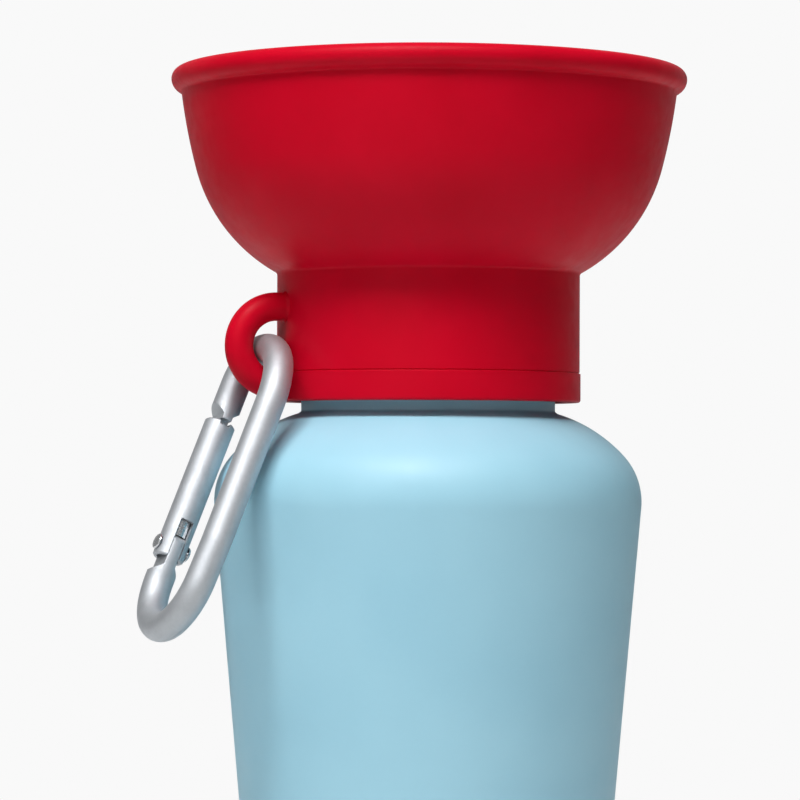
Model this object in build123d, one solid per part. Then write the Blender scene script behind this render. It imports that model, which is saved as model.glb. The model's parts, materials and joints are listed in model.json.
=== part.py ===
from build123d import *
from math import atan2, cos, degrees, hypot, radians, sin, sqrt, tan
import os

# Travel water bottle for dogs: a squeeze bottle whose screw top is a drinking bowl.
# Millimetres. +Z is up, the origin is on the bottle's axis, on the surface it stands on.
# The carrying loop and the snap hook are on the -X side.

# ---- bottle ----
collar_edge_z = 143.0  # height of the collar's lower edge above the table
body_radius = 45.4  # widest, just under the shoulder
side_taper = 5.07  # degrees that the side leans in towards the base
corner_radius = 14.5  # round between shoulder and side
shoulder_start_slope = 17.0  # degrees below horizontal, beside the neck
shoulder_mid_slope = 47.5  # degrees, where the two rounds of the shoulder meet
shoulder_drop = 2.4  # shoulder starts this far under the collar's edge
heel_radius = 5.0
bottle_wall = 1.3
push_up_radius = 24.0  # hollow of the base
push_up_depth = 2.5
neck_radius = 27.0
neck_bore_radius = 24.4
neck_foot = 0.6  # round at the foot of the neck
mouth_height = 12.0  # bottle mouth above the collar's edge

# ---- screw thread ----
thread_pitch = 4.2
thread_depth = 1.8
thread_root_width = 2.3
thread_crest_width = 1.2
thread_bite = 0.4  # how far a ridge starts inside its wall
neck_thread_start = 3.4  # ridge centre above the collar's edge
neck_thread_turns = 1.25
collar_thread_turns = 1.0
collar_thread_angle = 30.0  # degrees round from the start of the neck thread

# ---- bowl and collar ----
thread_clearance = 0.3
collar_wall = 3.1
band_height = 6.2  # lower band of the collar
band_step = 0.2  # the band stands this much proud
bowl_round_radius = 35.4  # lower curve of the bowl, outside
bowl_round_offset = 15.3  # that curve's centre from the axis
bowl_round_height = 58.5  # and above the collar's edge
bowl_flare = 14.8  # degrees that the wall leans out where the lower curve ends
bowl_upper_radius = 125.0  # the gentler curve above it, outside
bowl_wall = 2.0
bead_top_height = 70.7  # above the collar's edge
bead_upper_round = 2.2  # from the bead's nose up to its crest
bead_lower_round = 2.75  # from its nose down to the wall
bead_overhang = 1.85  # nose outside the wall's own curve
collar_fillet = 1.2
port_radius = 5.7
bowl_floor_height = 26.0  # at the port
bowl_floor_slope = 8.3  # degrees, rising outwards
floor_thickness = 1.9
floor_fillet = 2.5

# ---- valve ----
gasket_thickness = 1.2
gasket_inset = 0.1  # gasket and flange inside the neck's outer wall
flange_thickness = 1.8
skirt_wall = 1.75
skirt_length = 8.2
press_clearance = 0.05
hub_radius = 8.5
hub_bore_radius = 6.3
hub_height = 7.5
hub_clearance = 0.5  # hub to chimney
chimney_wall = 2.0
chimney_lift = 0.8  # chimney ends this far above the flange
seal_height = 2.0
seal_radial_gap = 0.05
seal_groove_depth = 1.0
seal_groove_play = 0.1
seal_lift = 2.0  # groove's lower face above the flange
hold_down_gap = 0.15
hold_down_wall = 1.8
hold_down_inset = 0.6  # rib inside the neck's outer wall
spider_thickness = 2.0
spider_width = 1.8
spider_ribs = 3
spider_weld = 0.4  # how far a rib runs into the hub's wall
post_radius = 2.0
post_height = 1.5
plug_gap = 0.1  # plug to port, all round
plug_sink = 0.4  # plug's top below the bowl's floor at the port
plug_chamfer = 0.5
socket_wall = 2.2
socket_length = 10.2
tube_radius = 4.0
tube_bore_radius = 3.0
tube_insertion = 7.0
tube_floor_gap = 5.0

# ---- carrying loop ----
loop_radius = 8.2  # centre line of the loop
loop_rod_radius = 3.0
loop_height = 11.6  # loop's centre above the collar's edge

# ---- snap hook (carabiner) ----
# Its own frame: origin at the rod's centre inside the loop, x from spine to gate,
# y up along the hook, z towards the bottle.
hook_rod_radius = 3.1
hook_wall_gap = 0.35  # rod to collar, inside the loop
hook_loop_gap = 0.35  # rod to the loop's inner side
hook_drop = 0.5  # rod's centre below the loop's centre
hook_yaw = 4.5  # degrees that the hook is turned about the vertical
hook_roll = 10.2  # degrees that it hangs askew in its own plane, foot towards the spine
hook_rest_gap = 1.2  # gate or spine to bottle at rest
hook_spine_x = -11.65
hook_gate_x = 11.5  # gate's line at the top
gate_slant = 0.25  # degrees between gate and spine
hook_bottom = 65.4  # centre line of the lower bow below the origin
hook_spine_end = 47.9  # spine bends in below this
hook_bow_start_x = -10.35  # corner where the bend meets the lower bow
hook_top_round = 16.0  # above the spine
hook_nose_round = 6.9  # above the nose
hook_hang_x = 3.75  # place on the top bow that lies in the loop
hook_spine_round = 20.0
hook_front_round = 9.9
hook_back_round = 12.6
pin_drop = 45.65  # hinge pin below the origin
gate_radius = 3.3
gate_bore_radius = 2.4
gate_chamfer = 0.3
gate_tail = 2.6  # gate beyond the pin
gate_length = 29.3  # gate from pin to nose end
gate_end_wall = 6.3  # solid end, nose slot included
nose_slot_depth = 4.0
nose_notch_depth = 1.0
nose_engagement = 3.4  # tongue inside the slot
nose_tongue_half = 1.1
nose_taper = 2.1  # length of the two slanting faces
nose_gap = 1.6  # gate end to the foot of the slanting faces
nose_inner_flat = 1.4  # tongue's inner face from the gate's line
nose_inner_rise = 0.5  # that face runs this far past the gate's end
hinge_tongue_half = 1.3
hinge_tongue_height = 2.2  # flat end above the pin's centre
hinge_tongue_flat = 1.8  # half width of the flat end
hinge_shoulder = 4.5  # slanting faces start this far below the pin
hinge_taper = 2.0
tongue_weld = 0.3  # round rod between the slanting faces and the bent rod
slot_clearance = 0.15
slot_inner_height = 6.0  # slot above the pin, on the side facing the spine
slot_outer_height = 3.3
pin_radius = 1.0
pin_clearance = 0.05
pin_head_radius = 1.7
pin_head_height = 0.75
pin_head_round = 0.6
pin_head_gap = 0.05  # under each head
plunger_length = 5.0
plunger_clearance = 0.15
plunger_rest_gap = 0.2
spring_wire_radius = 0.25
spring_coil_radius = 1.75
spring_turns = 9
spring_end_gap = 0.1

# ---- worked out from the above ----
neck_thread_crest = neck_radius + thread_depth
collar_bore_radius = neck_thread_crest + thread_clearance
collar_radius = collar_bore_radius + collar_wall
gasket_z = collar_edge_z + mouth_height
flange_z = gasket_z + gasket_thickness
flange_top_z = flange_z + flange_thickness
hub_top_z = flange_top_z + hub_height
chimney_bore_radius = hub_radius + hub_clearance
floor_z = collar_edge_z + bowl_floor_height
ceiling_z = floor_z - floor_thickness
loop_reach = hook_wall_gap + 2 * hook_rod_radius + hook_loop_gap  # collar to loop, inside
loop_offset = loop_reach - (loop_radius - loop_rod_radius)  # its centre outside the collar
loop_centre = Vector(-(collar_radius + loop_offset), 0, collar_edge_z + loop_height)
hook_origin = Vector(
    -(collar_radius + hook_wall_gap + hook_rod_radius), 0, loop_centre.Z - hook_drop
)
past_rod = hook_rod_radius + 0.2  # outline of a cut, just clear of the rod


def shoulder_round_radius():
    """First round of the shoulder, from the neck's and the body's radius."""
    corner_run = corner_radius * (1 - sin(radians(shoulder_mid_slope)))
    run = body_radius - (neck_radius + neck_foot) - corner_run
    return run / (sin(radians(shoulder_mid_slope)) - sin(radians(shoulder_start_slope)))


def shoulder_point(slope, inset=0.0):
    """Point (radius, z) of the shoulder where it slopes so many degrees."""
    first = shoulder_round_radius()
    start = radians(shoulder_start_slope)
    mid = radians(shoulder_mid_slope)
    here = radians(slope)
    radius = neck_radius + neck_foot
    z = collar_edge_z - shoulder_drop
    end = min(here, mid)
    radius += first * (sin(end) - sin(start))
    z += first * (cos(end) - cos(start))
    if here > mid:
        radius += corner_radius * (sin(here) - sin(mid))
        z += corner_radius * (cos(here) - cos(mid))
    return radius - inset * sin(here), z - inset * cos(here)


def side_radius(z):
    """Outer radius of the straight side at a height."""
    radius, top = shoulder_point(90 + side_taper)
    return radius - (top - z) * tan(radians(side_taper))


def shoulder_edges(inset):
    """The shoulder's two rounds, from the neck out to the side."""
    slopes = [shoulder_start_slope, shoulder_mid_slope, 90 + side_taper]
    arcs = []
    for low, high in zip(slopes, slopes[1:]):
        middle = (low + high) / 2
        ends = [shoulder_point(slope, inset) for slope in (low, middle, high)]
        arcs.append(ThreePointArc(*ends))
    return arcs


def heel_points(inset):
    """Side's end, middle and floor end of the round at the foot of the side."""
    lean = radians(side_taper)
    centre = side_radius(heel_radius) - heel_radius / cos(lean)
    radius = heel_radius - inset
    middle = (radians(90) + lean) / 2
    side_end = (centre + radius * cos(lean), heel_radius - radius * sin(lean))
    mid_end = (centre + radius * cos(middle), heel_radius - radius * sin(middle))
    return side_end, mid_end, (centre, heel_radius - radius)


def base_edges(inset):
    """The base from its axis out to the side: push-up, standing ring and heel."""
    side_end, mid_end, floor_end = heel_points(inset)
    crown = (0, push_up_depth + inset)
    flank = (push_up_radius * 0.6, push_up_depth * 0.72 + inset)
    ring = (push_up_radius, inset)
    push_up = ThreePointArc(crown, flank, ring)
    return [push_up, Line(ring, floor_end), ThreePointArc(floor_end, mid_end, side_end)]


def revolved(edges):
    """Solid of revolution round Z, from a closed outline in (radius, z)."""
    outline = make_face(Curve() + edges)
    return revolve(Plane.XZ * outline, Axis.Z)


def ring(inner, outer, low, high):
    """Plain tube or, with no inner radius, a plain disc."""
    height = high - low
    base = (Align.CENTER, Align.CENTER, Align.MIN)
    body = Cylinder(outer, height, align=base)
    if inner > 0:
        body -= Cylinder(inner, height, align=base)
    return Pos(0, 0, low) * body


def thread_ridge(root, direction, start, turns, angle):
    """Screw ridge that stands out of a wall: direction is 1 outwards, -1 inwards."""
    foot = root - direction * thread_bite
    crest = root + direction * thread_depth
    slope = (thread_root_width - thread_crest_width) / 2 / thread_depth
    foot_half = thread_root_width / 2 + slope * thread_bite
    crest_half = thread_crest_width / 2
    section = Polyline(
        (foot, -foot_half), (crest, -crest_half), (crest, crest_half), (foot, foot_half),
        close=True,
    )
    path = Helix(thread_pitch, thread_pitch * turns, root)
    ridge = sweep(Plane.XZ * make_face(section), path=path, is_frenet=True)
    return Pos(0, 0, start) * Rot(0, 0, angle) * ridge


def bottle():
    neck_outer = (neck_radius, collar_edge_z - shoulder_drop + neck_foot)
    mouth = collar_edge_z + mouth_height
    outer = [
        *base_edges(0),
        Line(heel_points(0)[0], shoulder_point(90 + side_taper)),
        *shoulder_edges(0),
        Line(shoulder_point(shoulder_start_slope), neck_outer),
        Line(neck_outer, (neck_radius, mouth)),
    ]
    neck_inner_z = shoulder_point(shoulder_start_slope, bottle_wall)[1]
    inner = [
        *base_edges(bottle_wall),
        Line(heel_points(bottle_wall)[0], shoulder_point(90 + side_taper, bottle_wall)),
        *shoulder_edges(bottle_wall),
        Line(shoulder_point(shoulder_start_slope, bottle_wall), (neck_bore_radius, neck_inner_z)),
        Line((neck_bore_radius, neck_inner_z), (neck_bore_radius, mouth)),
    ]
    lip = Line((neck_bore_radius, mouth), (neck_radius, mouth))
    axis_end = Line((0, push_up_depth), (0, push_up_depth + bottle_wall))
    shell = revolved([*outer, *inner, lip, axis_end])
    start = collar_edge_z + neck_thread_start
    return shell + thread_ridge(neck_radius, 1, start, neck_thread_turns, 0)


def neck_gasket():
    inner = neck_bore_radius + press_clearance
    return ring(inner, neck_radius - gasket_inset, gasket_z, flange_z)


def valve_insert():
    plate = ring(0, neck_radius - gasket_inset, flange_z, flange_top_z)
    skirt_radius = neck_bore_radius - press_clearance
    skirt = ring(skirt_radius - skirt_wall, skirt_radius, flange_z - skirt_length, flange_z)
    hub = ring(hub_bore_radius, hub_radius, flange_top_z, hub_top_z)
    socket_radius = tube_radius + socket_wall
    socket = ring(tube_bore_radius, socket_radius, flange_z - socket_length, flange_z)
    socket -= ring(0, tube_radius, tube_end_z() - tube_insertion, tube_end_z())
    body = plate + skirt + hub + socket - ring(0, tube_bore_radius, flange_z, flange_top_z)
    spider_z = hub_top_z - spider_thickness
    rib_length = hub_bore_radius + spider_weld
    rib = Box(rib_length, spider_width, spider_thickness, align=(Align.MIN, Align.CENTER, Align.MIN))
    for index in range(spider_ribs):
        body += Rot(0, 0, 360 / spider_ribs * index) * Pos(0, 0, spider_z) * rib
    return body + ring(0, post_radius, spider_z, hub_top_z + post_height)


def tube_end_z():
    """Upper end of the dip tube, where it stops in its socket."""
    return flange_z - socket_length + tube_insertion


def port_plug():
    top = floor_z - plug_sink
    body = ring(0, port_radius - plug_gap, hub_top_z, top)
    body = chamfer(body.edges().group_by(Axis.Z)[-1], plug_chamfer)
    return body - ring(0, post_radius, hub_top_z, hub_top_z + post_height)


def dip_tube():
    low = push_up_depth + bottle_wall + tube_floor_gap
    return ring(tube_bore_radius, tube_radius, low, tube_end_z())


def seal_z():
    """Lower face of the groove that holds the wiper seal."""
    return flange_top_z + seal_lift


def wiper_seal():
    inner = hub_radius + seal_radial_gap
    outer = chimney_bore_radius + seal_groove_depth - seal_groove_play
    low = seal_z() + seal_groove_play
    return ring(inner, outer, low, low + seal_height)


def bowl_arc_point(radius_shift, slope):
    """Point on the bowl's lower curve, slope 0 at the level floor, 90 upright."""
    radius = bowl_round_radius - radius_shift
    angle = radians(slope)
    centre_z = collar_edge_z + bowl_round_height
    return bowl_round_offset + radius * sin(angle), centre_z - radius * cos(angle)


def slope_at_radius(radius_shift, target):
    """Slope in degrees where the bowl's curve passes a radius."""
    height = sqrt((bowl_round_radius - radius_shift) ** 2 - (target - bowl_round_offset) ** 2)
    return degrees(atan2(target - bowl_round_offset, height))


def floor_line_z(radius):
    """Height of the bowl's sloping floor at a radius."""
    return floor_z + (radius - port_radius) * tan(radians(bowl_floor_slope))


def floor_meets_round():
    """Slope of the inner curve where the floor runs into it, by bisection."""
    low, high = 0.0, 80.0
    for _ in range(50):
        middle = (low + high) / 2
        radius, z = bowl_arc_point(bowl_wall, middle)
        if z < floor_line_z(radius):
            low = middle
        else:
            high = middle
    return middle


def upper_wall_radius(radius_shift, z):
    """Radius of the bowl's upper wall at a height; its curve runs on from the lower one."""
    start_radius, start_z = bowl_arc_point(0, 90 - bowl_flare)
    centre = start_radius - bowl_upper_radius * cos(radians(bowl_flare))
    centre_z = start_z + bowl_upper_radius * sin(radians(bowl_flare))
    return centre + sqrt((bowl_upper_radius - radius_shift) ** 2 - (centre_z - z) ** 2)


def bead_nose():
    """Centre of the bead's lower round, and the nose that stands out from the wall."""
    z = collar_edge_z + bead_top_height - bead_upper_round
    radius = upper_wall_radius(0, z) + bead_overhang
    return (radius - bead_lower_round, z), (radius, z)


def bead_foot():
    """Where the bead's lower round runs into the wall, by bisection."""
    centre, nose = bead_nose()
    low, high = centre[1] - bead_lower_round, centre[1]
    for _ in range(50):
        middle = (low + high) / 2
        round_radius = centre[0] + sqrt(bead_lower_round**2 - (centre[1] - middle) ** 2)
        if round_radius < upper_wall_radius(0, middle):
            low = middle
        else:
            high = middle
    return upper_wall_radius(0, middle), middle


def bead_inner_round():
    """Round from the bead's crest to the bowl's inner wall, which it meets."""
    centre, nose = bead_nose()
    crest = nose[0] - bead_upper_round
    top = collar_edge_z + bead_top_height
    low, high = 0.0, bead_lower_round
    for _ in range(50):
        middle = (low + high) / 2
        if crest - middle > upper_wall_radius(bowl_wall, top - middle):
            low = middle
        else:
            high = middle
    return middle


def quarter(centre, ends):
    """Arc about a centre between two ends, through the point midway round it."""
    first, last = (Vector(*end) - Vector(*centre) for end in ends)
    middle = Vector(*centre) + (first + last).normalized() * first.length
    return ThreePointArc(ends[0], (middle.X, middle.Y), ends[1])


def upper_wall(radius_shift, low, high):
    """The bowl's upper wall between two heights, as an arc that runs upwards."""
    heights = (low, (low + high) / 2, high)
    return ThreePointArc(*[(upper_wall_radius(radius_shift, z), z) for z in heights])


def bowl_top():
    upright = 90 - bowl_flare
    # outside, from the collar's lower edge to the bead
    band = collar_radius + band_step
    band_z = collar_edge_z + band_height
    foot_slope = slope_at_radius(0, collar_radius)
    foot = bowl_arc_point(0, foot_slope)
    outer_top = bowl_arc_point(0, upright)
    foot_of_bead = bead_foot()
    lower_centre, nose = bead_nose()
    bead_top = collar_edge_z + bead_top_height
    crest = (nose[0] - bead_upper_round, bead_top)
    inner_round = bead_inner_round()
    brink = (crest[0] - inner_round, bead_top - inner_round)
    outside = [
        Line((band, collar_edge_z), (band, band_z - band_step)),
        Line((band, band_z - band_step), (collar_radius, band_z)),
        Line((collar_radius, band_z), foot),
        ThreePointArc(foot, bowl_arc_point(0, (foot_slope + upright) / 2), outer_top),
        upper_wall(0, outer_top[1], foot_of_bead[1]),
        quarter(lower_centre, (foot_of_bead, nose)),
        quarter((crest[0], nose[1]), (nose, crest)),
        quarter((crest[0], brink[1]), (crest, brink)),
    ]
    # inside of the bowl, from the bead to the port
    inner_top = bowl_arc_point(bowl_wall, upright)
    floor_slope = floor_meets_round()
    floor_end = bowl_arc_point(bowl_wall, floor_slope)
    inside = [
        upper_wall(bowl_wall, inner_top[1], brink[1]),
        ThreePointArc(inner_top, bowl_arc_point(bowl_wall, (floor_slope + upright) / 2), floor_end),
        Line(floor_end, (port_radius, floor_z)),
        Line((port_radius, floor_z), (port_radius, ceiling_z)),
    ]
    # underneath: chimney, hold-down rib and collar bore
    chimney_low = flange_top_z + chimney_lift
    chimney_outer = chimney_bore_radius + chimney_wall
    groove = chimney_bore_radius + seal_groove_depth
    groove_top = seal_z() + seal_height + 2 * seal_groove_play
    rib_outer = neck_radius - hold_down_inset
    rib_inner = rib_outer - hold_down_wall
    rib_low = flange_top_z + hold_down_gap

    def ceiling(radius):
        return floor_line_z(radius) - floor_thickness

    under = Polyline(
        (port_radius, ceiling_z),
        (chimney_bore_radius, ceiling_z),
        (chimney_bore_radius, groove_top),
        (groove, groove_top),
        (groove, seal_z()),
        (chimney_bore_radius, seal_z()),
        (chimney_bore_radius, chimney_low),
        (chimney_outer, chimney_low),
        (chimney_outer, ceiling(chimney_outer)),
        (rib_inner, ceiling(rib_inner)),
        (rib_inner, rib_low),
        (rib_outer, rib_low),
        (rib_outer, ceiling(rib_outer)),
        (collar_bore_radius, ceiling(rib_outer)),
        (collar_bore_radius, collar_edge_z),
        (band, collar_edge_z),
    )
    shell = revolved([*outside, *inside, *under.edges()])
    corner = shell.edges().filter_by(GeomType.CIRCLE).filter_by(
        lambda e: abs(e.radius - collar_radius) < 0.01 and abs(e.center().Z - foot[1]) < 0.01
    )
    shell = fillet(corner, collar_fillet)
    floor_corner = shell.edges().filter_by(GeomType.CIRCLE).filter_by(
        lambda e: abs(e.radius - floor_end[0]) < 0.01 and abs(e.center().Z - floor_end[1]) < 0.01
    )
    shell = fillet(floor_corner, floor_fillet)
    start = collar_edge_z + neck_thread_start + thread_pitch * (collar_thread_angle / 360 - 0.5)
    shell += thread_ridge(collar_bore_radius, -1, start, collar_thread_turns, collar_thread_angle)
    return shell + carrying_loop()


def carrying_loop():
    """Loop beside the collar: a half ring on two short legs, square to the wall."""
    loop_plane = Plane(origin=loop_centre, x_dir=(1, 0, 0), z_dir=(0, -1, 0))
    half_ring = loop_plane * Torus(loop_radius, loop_rod_radius)
    half_ring &= Pos(loop_centre.X, 0, loop_centre.Z) * Box(
        4 * loop_radius, 4 * loop_rod_radius, 4 * loop_radius,
        align=(Align.MAX, Align.CENTER, Align.CENTER),
    )
    loop = half_ring
    leg_length = loop_offset + collar_wall / 2
    for side in (-1, 1):
        foot = Plane(
            origin=(loop_centre.X, 0, loop_centre.Z + side * loop_radius), z_dir=(1, 0, 0)
        )
        leg = Cylinder(loop_rod_radius, leg_length, align=(Align.CENTER, Align.CENTER, Align.MIN))
        loop += foot * leg
    return loop


def gate_x(drop):
    """The gate's line: its x at so many millimetres below the hook's origin."""
    return hook_gate_x + tan(radians(gate_slant)) * drop


def swing_axis():
    """Level line through the rod, about which the hook swings in the loop."""
    yaw = radians(hook_yaw)
    return Vector(-sin(yaw), cos(yaw), 0)


def hook_plane(lean):
    """The hook's frame when it leans out from the bottle by so many degrees."""
    yaw = radians(hook_yaw)
    tilt = radians(lean)
    inwards = Vector(cos(yaw) * cos(tilt), sin(yaw) * cos(tilt), -sin(tilt))
    upright = Plane(origin=hook_origin, x_dir=swing_axis(), z_dir=inwards)
    roll = Pos(0, -hook_top_round, 0) * Rot(0, 0, -hook_roll) * Pos(-hook_hang_x, hook_top_round, 0)
    return Plane(upright.location * roll)


def bottle_gap(plane):
    """Least gap from the hook's spine and gate to the bottle's shoulder and side."""
    skin = [shoulder_point(slope) for slope in range(int(shoulder_start_slope), 95)]
    skin += [(side_radius(z), z) for z in range(int(heel_radius), int(shoulder_point(90)[1]))]
    drops = range(int(hook_top_round), int(hook_spine_end))
    rods = [(Vector(hook_spine_x, -drop, 0), hook_rod_radius) for drop in drops]
    rods += [(Vector(gate_x(drop), -drop, 0), gate_radius) for drop in drops]
    least = 100.0
    for point, rod_radius in rods:
        place = plane.from_local_coords(point)
        radius = hypot(place.X, place.Y)
        nearest = min(hypot(radius - r, place.Z - z) for r, z in skin)
        least = min(least, nearest - rod_radius)
    return least


def rest_lean():
    """Lean at which the hook comes to rest beside the bottle, by bisection."""
    low, high = 0.0, 60.0
    for _ in range(24):
        middle = (low + high) / 2
        if bottle_gap(hook_plane(middle)) < hook_rest_gap:
            low = middle
        else:
            high = middle
    return high


hook_lean = rest_lean()
hook_frame = hook_plane(hook_lean)

# The gate's frame: origin on the pin, y towards the nose, x away from the spine.
gate_axis = Vector(-sin(radians(gate_slant)), cos(radians(gate_slant)), 0)
gate_out = Vector(cos(radians(gate_slant)), sin(radians(gate_slant)), 0)
gate_frame = Plane(origin=(gate_x(pin_drop), -pin_drop, 0), x_dir=gate_out, z_dir=(0, 0, 1))


def along_gate(length):
    """Point in the hook's frame on the gate's line, measured from the pin."""
    return gate_frame.origin + gate_axis * length


def gate_rod(radius, low, high):
    """Cylinder along the gate's line between two distances from the pin."""
    rod = Cylinder(radius, high - low, align=(Align.CENTER, Align.CENTER, Align.MIN))
    return Pos(0, low, 0) * Rot(-90, 0, 0) * rod


def gate_block(x_low, x_high, y_low, y_high, half_thickness):
    """Block in the gate's frame, as thick on both sides of the hook's plane."""
    corner = (Align.MIN, Align.MIN, Align.CENTER)
    block = Box(x_high - x_low, y_high - y_low, 2 * half_thickness, align=corner)
    return Pos(x_low, y_low, 0) * block


def wedge(outline):
    """Prism across the gate: outline in (z, y) of the gate's frame."""
    face = Plane(origin=(0, 0, 0), x_dir=(0, 0, -1), z_dir=(1, 0, 0)) * make_face(outline)
    return extrude(face, 2 * hook_rod_radius, both=True)


def nose_tongue():
    """Flat tongue at the hook's open end, which sits in the gate's slot."""
    root = gate_length + nose_gap + nose_taper
    foot = gate_length + nose_gap
    tip = gate_length - nose_engagement
    half = nose_tongue_half
    outline = Polyline(
        (-past_rod, nose_start()), (-past_rod, root), (-half, foot), (-half, tip),
        (half, tip), (half, foot), (past_rod, root), (past_rod, nose_start()),
        close=True,
    )
    body = gate_rod(hook_rod_radius, tip, nose_start()) & wedge(outline)
    face_end = gate_length + nose_inner_rise
    inner = gate_block(-2 * hook_rod_radius, -nose_inner_flat, tip, face_end, hook_rod_radius)
    return body - inner


def nose_start():
    """Where the round rod takes over from the nose, from the pin."""
    return gate_length + nose_gap + nose_taper + tongue_weld


def hinge_start():
    """Where the round rod takes over from the hinge tongue, from the pin."""
    return -(hinge_shoulder + hinge_taper + tongue_weld)


def hinge_tongue():
    """Flat tongue that carries the pin, inside the gate's two cheeks."""
    half = hinge_tongue_half
    top = hinge_tongue_height
    taper_foot = -hinge_shoulder - hinge_taper
    outline = Polyline(
        (-past_rod, hinge_start()), (-past_rod, taper_foot), (-half, -hinge_shoulder), (-half, top),
        (half, top), (half, -hinge_shoulder), (past_rod, taper_foot), (past_rod, hinge_start()),
        close=True,
    )
    body = gate_rod(hook_rod_radius, hinge_start(), top) & wedge(outline)
    # the corners beside the flat end are rounded off towards the tongue's flanks
    flat = hinge_tongue_flat
    bulge = sqrt(0.5)
    brow = (flat + (past_rod - flat) * bulge, top * bulge)
    side = Curve() + [
        Line((-past_rod, hinge_start()), (-past_rod, 0)),
        ThreePointArc((-past_rod, 0), (-brow[0], brow[1]), (-flat, top)),
        Line((-flat, top), (flat, top)),
        ThreePointArc((flat, top), brow, (past_rod, 0)),
        Line((past_rod, 0), (past_rod, hinge_start())),
        Line((past_rod, hinge_start()), (-past_rod, hinge_start())),
    ]
    body &= extrude(make_face(side), hook_rod_radius, both=True)
    return body - pin_hole(pin_radius)


def pin_hole(radius):
    """Bore for the pin, across the gate."""
    return Cylinder(radius, 4 * gate_radius)


def carabiner_body():
    corners = [
        along_gate(nose_start()),
        Vector(hook_gate_x, 0, 0),
        Vector(hook_spine_x, 0, 0),
        Vector(hook_spine_x, -hook_spine_end, 0),
        Vector(hook_bow_start_x, -hook_bottom, 0),
        Vector(gate_x(hook_bottom), -hook_bottom, 0),
        along_gate(hinge_start()),
    ]
    rounds = [hook_nose_round, hook_top_round, hook_spine_round, hook_front_round, hook_back_round]
    path = FilletPolyline(*corners, radius=rounds)
    section = Plane(origin=path @ 0, z_dir=path % 0) * Circle(hook_rod_radius)
    rod = sweep(section, path=path)
    body = rod + gate_frame * nose_tongue() + gate_frame * hinge_tongue()
    return hook_frame * body


def gate_pin():
    half = gate_radius + pin_head_gap
    shank = Cylinder(pin_radius, 2 * half)
    head = Cylinder(pin_head_radius, pin_head_height, align=(Align.CENTER, Align.CENTER, Align.MIN))
    head = fillet(head.edges().group_by(Axis.Z)[-1], pin_head_round)
    pin = shank + Pos(0, 0, half) * head + Pos(0, 0, -half) * Rot(180, 0, 0) * head
    return hook_frame * (gate_frame * pin)


def gate_tube():
    bore_end = gate_length - gate_end_wall
    tube = gate_rod(gate_radius, -gate_tail, gate_length)
    ends = tube.edges().filter_by(GeomType.CIRCLE)
    tube = chamfer(ends, gate_chamfer)
    tube -= gate_rod(gate_bore_radius, -gate_tail, bore_end)
    # hinge slot: long on the side facing the spine, short on the other
    slot_half = hinge_tongue_half + slot_clearance
    low = -gate_tail - 1
    tube -= gate_block(-2 * gate_radius, 0, low, slot_inner_height, slot_half)
    tube -= gate_block(0, 2 * gate_radius, low, slot_outer_height, slot_half)
    # nose slot: deep and open on the outer side, shallow notch on the inner side
    nose_half = nose_tongue_half + slot_clearance
    inner_face = -(nose_inner_flat + slot_clearance)
    wide = 2 * gate_radius
    beyond = gate_length + 1
    tube -= gate_block(inner_face, wide, gate_length - nose_slot_depth, beyond, nose_half)
    tube -= gate_block(-wide, 0, gate_length - nose_notch_depth, beyond, nose_half)
    tube -= pin_hole(pin_radius + pin_clearance)
    return hook_frame * (gate_frame * tube)


def plunger_foot():
    """The plunger's flat foot, from the pin, when the gate is shut."""
    return hinge_tongue_height + plunger_rest_gap


def gate_plunger():
    radius = gate_bore_radius - plunger_clearance
    body = gate_rod(radius, plunger_foot(), plunger_foot() + plunger_length)
    return hook_frame * (gate_frame * body)


def gate_spring():
    low = plunger_foot() + plunger_length + spring_wire_radius + spring_end_gap
    high = gate_length - gate_end_wall - spring_wire_radius - spring_end_gap
    path = Helix((high - low) / spring_turns, high - low, spring_coil_radius)
    section = Plane(origin=path @ 0, z_dir=path % 0) * Circle(spring_wire_radius)
    coil = sweep(section, path=path, is_frenet=True)
    return hook_frame * (gate_frame * (Pos(0, low, 0) * Rot(-90, 0, 0) * coil))


pieces = {
    "bottle": bottle,
    "neck_gasket": neck_gasket,
    "valve_insert": valve_insert,
    "port_plug": port_plug,
    "dip_tube": dip_tube,
    "wiper_seal": wiper_seal,
    "bowl_top": bowl_top,
    "carabiner_body": carabiner_body,
    "gate_pin": gate_pin,
    "gate_tube": gate_tube,
    "gate_plunger": gate_plunger,
    "gate_spring": gate_spring,
}

os.makedirs("parts", exist_ok=True)
for name, make in pieces.items():
    export_step(make(), f"parts/{name}.step")

pin_place = hook_frame.from_local_coords(gate_frame.origin)
gate_run = hook_frame.from_local_coords(gate_frame.origin + gate_axis) - pin_place
print("hook lean", round(hook_lean, 2), "gap", round(bottle_gap(hook_frame), 3))
print("hook origin", hook_origin, "swing axis", swing_axis())
print("pin", pin_place, "pin axis", hook_frame.z_dir, "gate axis", gate_run)
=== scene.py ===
import json
import bmesh
import bpy
from math import acos, atan2, cos, hypot, pi, radians, sin, sqrt, tan
from mathutils import Matrix, Quaternion, Vector


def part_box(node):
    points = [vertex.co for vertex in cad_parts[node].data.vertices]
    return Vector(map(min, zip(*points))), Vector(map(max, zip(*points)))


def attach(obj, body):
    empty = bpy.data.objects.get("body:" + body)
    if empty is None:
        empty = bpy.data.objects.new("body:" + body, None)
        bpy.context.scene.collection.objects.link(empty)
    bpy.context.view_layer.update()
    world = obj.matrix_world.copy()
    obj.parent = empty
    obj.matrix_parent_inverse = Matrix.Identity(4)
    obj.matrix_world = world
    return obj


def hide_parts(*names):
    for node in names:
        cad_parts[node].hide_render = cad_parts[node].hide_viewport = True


# Travel water bottle for dogs. The object's sizes are millimetres until a mesh is made, and the
# studio's are metres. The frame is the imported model's: +Z up, the carrying loop and the snap hook
# on the -X side.
MM = 0.001

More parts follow.
